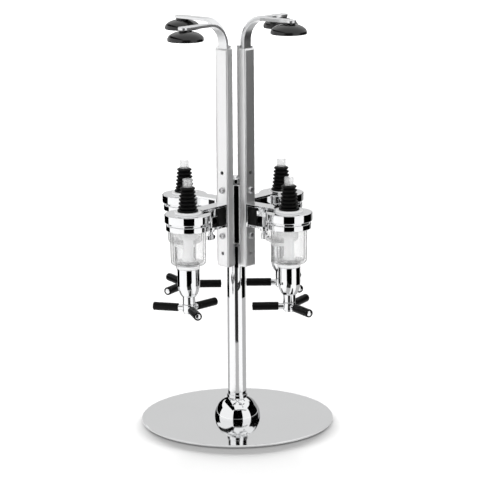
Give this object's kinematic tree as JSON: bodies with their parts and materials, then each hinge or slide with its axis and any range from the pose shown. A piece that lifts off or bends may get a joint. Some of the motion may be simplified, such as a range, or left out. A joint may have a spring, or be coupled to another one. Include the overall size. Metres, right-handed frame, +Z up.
{
  "type": "rotary drink dispenser",
  "caption": "Rotary drink dispenser: polished round base and post with a turning head of rails, sliding bottle arms and spring-loaded measuring valves with lever triggers.",
  "frame": {"origin": "centre of the base, on the surface that the pad rests on", "axes": "+Z up the post; the bottle axes stand at 45 degrees between X and Y"},
  "size_m": [0.23, 0.23, 0.4878],
  "materials": {
    "chrome": "bright chrome plate",
    "polished_base": "mirror-polished steel",
    "steel": "bright steel",
    "aluminium": "satin anodised",
    "bronze": "plain bearing bronze",
    "black_plastic": "black nylon",
    "black_grip": "black vinyl sleeve",
    "black_rubber": "black moulded rubber",
    "clear_tube": "clear plastic tube",
    "clear_measure": "clear acrylic",
    "white_nylon": "translucent white nylon",
    "pad": "non-slip sheet"
  },
  "bodies": {
    "stand": {"base_pad": "pad", "base_plate": "polished_base", "base_bolt": "steel", "base_dome": "chrome", "pole": "chrome", "spindle": "steel", "thrust_washer": "bronze", "cap_nut": "chrome"},
    "head": {"hub": "chrome", "hub_bushes": "bronze", "head_screws": "steel", "jaw_blocks": "black_plastic", "corks": "black_rubber", "inlet_tubes": "clear_tube", "inlet_seats": "white_nylon", "optic_caps": "chrome", "collar_rings": "chrome", "chambers": "clear_measure", "neck_rings": "white_nylon", "valve_bodies": "chrome", "rail_1": "aluminium", "rail_2": "aluminium", "rail_3": "aluminium", "rail_4": "aluminium", "bracket_1": "chrome", "bracket_2": "chrome", "bracket_3": "chrome", "bracket_4": "chrome", "spring_1": "steel", "spring_2": "steel", "spring_3": "steel", "spring_4": "steel"},
    "bottle_arm_1": {"arm_1": "chrome", "shoe_1": "black_plastic", "cup_1": "black_rubber"},
    "plunger_1": {"valve_rod_1": "chrome"},
    "trigger_bar_1": {"trigger_1": "chrome", "sleeves_1": "black_grip"},
    "clamp_screw_1": {"wing_screw_1": "chrome"},
    "bottle_arm_2": {"arm_2": "chrome", "shoe_2": "black_plastic", "cup_2": "black_rubber"},
    "plunger_2": {"valve_rod_2": "chrome"},
    "trigger_bar_2": {"trigger_2": "chrome", "sleeves_2": "black_grip"},
    "clamp_screw_2": {"wing_screw_2": "chrome"},
    "bottle_arm_3": {"arm_3": "chrome", "shoe_3": "black_plastic", "cup_3": "black_rubber"},
    "plunger_3": {"valve_rod_3": "chrome"},
    "trigger_bar_3": {"trigger_3": "chrome", "sleeves_3": "black_grip"},
    "clamp_screw_3": {"wing_screw_3": "chrome"},
    "bottle_arm_4": {"arm_4": "chrome", "shoe_4": "black_plastic", "cup_4": "black_rubber"},
    "plunger_4": {"valve_rod_4": "chrome"},
    "trigger_bar_4": {"trigger_4": "chrome", "sleeves_4": "black_grip"},
    "clamp_screw_4": {"wing_screw_4": "chrome"}
  },
  "joints": [
    {"name": "head_turn", "type": "hinge", "parent": "stand", "child": "head", "pos_m": [0, 0, 0.22], "axis": [0, 0, 1], "continuous": true},
    {"name": "arm_slide_1", "type": "slide", "parent": "head", "child": "bottle_arm_1", "axis": [0, 0, 1], "range_m": [-0.0065, 0.0935]},
    {"name": "valve_lift_1", "type": "slide", "parent": "head", "child": "plunger_1", "axis": [0, 0, 1], "range_m": [0, 0.008], "stiffness_N_per_m": 150, "springref_m": -0.02, "deforming": ["spring_1"]},
    {"name": "trigger_spin_1", "type": "hinge", "parent": "plunger_1", "child": "trigger_bar_1", "pos_m": [0.05834, -0.05834, 0.1547], "axis": [0, 0, 1], "continuous": true},
    {"name": "clamp_turn_1", "type": "hinge", "parent": "head", "child": "clamp_screw_1", "pos_m": [0.03111, -0.03111, 0.24], "axis": [0, 0, 1], "continuous": true},
    {"name": "arm_slide_2", "type": "slide", "parent": "head", "child": "bottle_arm_2", "axis": [0, 0, 1], "range_m": [0, 0.1]},
    {"name": "valve_lift_2", "type": "slide", "parent": "head", "child": "plunger_2", "axis": [0, 0, 1], "range_m": [0, 0.008], "stiffness_N_per_m": 150, "springref_m": -0.02, "deforming": ["spring_2"]},
    {"name": "trigger_spin_2", "type": "hinge", "parent": "plunger_2", "child": "trigger_bar_2", "pos_m": [0.05834, 0.05834, 0.1547], "axis": [0, 0, 1], "continuous": true},
    {"name": "clamp_turn_2", "type": "hinge", "parent": "head", "child": "clamp_screw_2", "pos_m": [0.03111, 0.03111, 0.24], "axis": [0, 0, 1], "continuous": true},
    {"name": "arm_slide_3", "type": "slide", "parent": "head", "child": "bottle_arm_3", "axis": [0, 0, 1], "range_m": [0, 0.1]},
    {"name": "valve_lift_3", "type": "slide", "parent": "head", "child": "plunger_3", "axis": [0, 0, 1], "range_m": [0, 0.008], "stiffness_N_per_m": 150, "springref_m": -0.02, "deforming": ["spring_3"]},
    {"name": "trigger_spin_3", "type": "hinge", "parent": "plunger_3", "child": "trigger_bar_3", "pos_m": [-0.05834, 0.05834, 0.1547], "axis": [0, 0, 1], "continuous": true},
    {"name": "clamp_turn_3", "type": "hinge", "parent": "head", "child": "clamp_screw_3", "pos_m": [-0.03111, 0.03111, 0.24], "axis": [0, 0, 1], "continuous": true},
    {"name": "arm_slide_4", "type": "slide", "parent": "head", "child": "bottle_arm_4", "axis": [0, 0, 1], "range_m": [0, 0.1]},
    {"name": "valve_lift_4", "type": "slide", "parent": "head", "child": "plunger_4", "axis": [0, 0, 1], "range_m": [0, 0.008], "stiffness_N_per_m": 150, "springref_m": -0.02, "deforming": ["spring_4"]},
    {"name": "trigger_spin_4", "type": "hinge", "parent": "plunger_4", "child": "trigger_bar_4", "pos_m": [-0.05834, -0.05834, 0.1547], "axis": [0, 0, 1], "continuous": true},
    {"name": "clamp_turn_4", "type": "hinge", "parent": "head", "child": "clamp_screw_4", "pos_m": [-0.03111, -0.03111, 0.24], "axis": [0, 0, 1], "continuous": true}
  ]
}
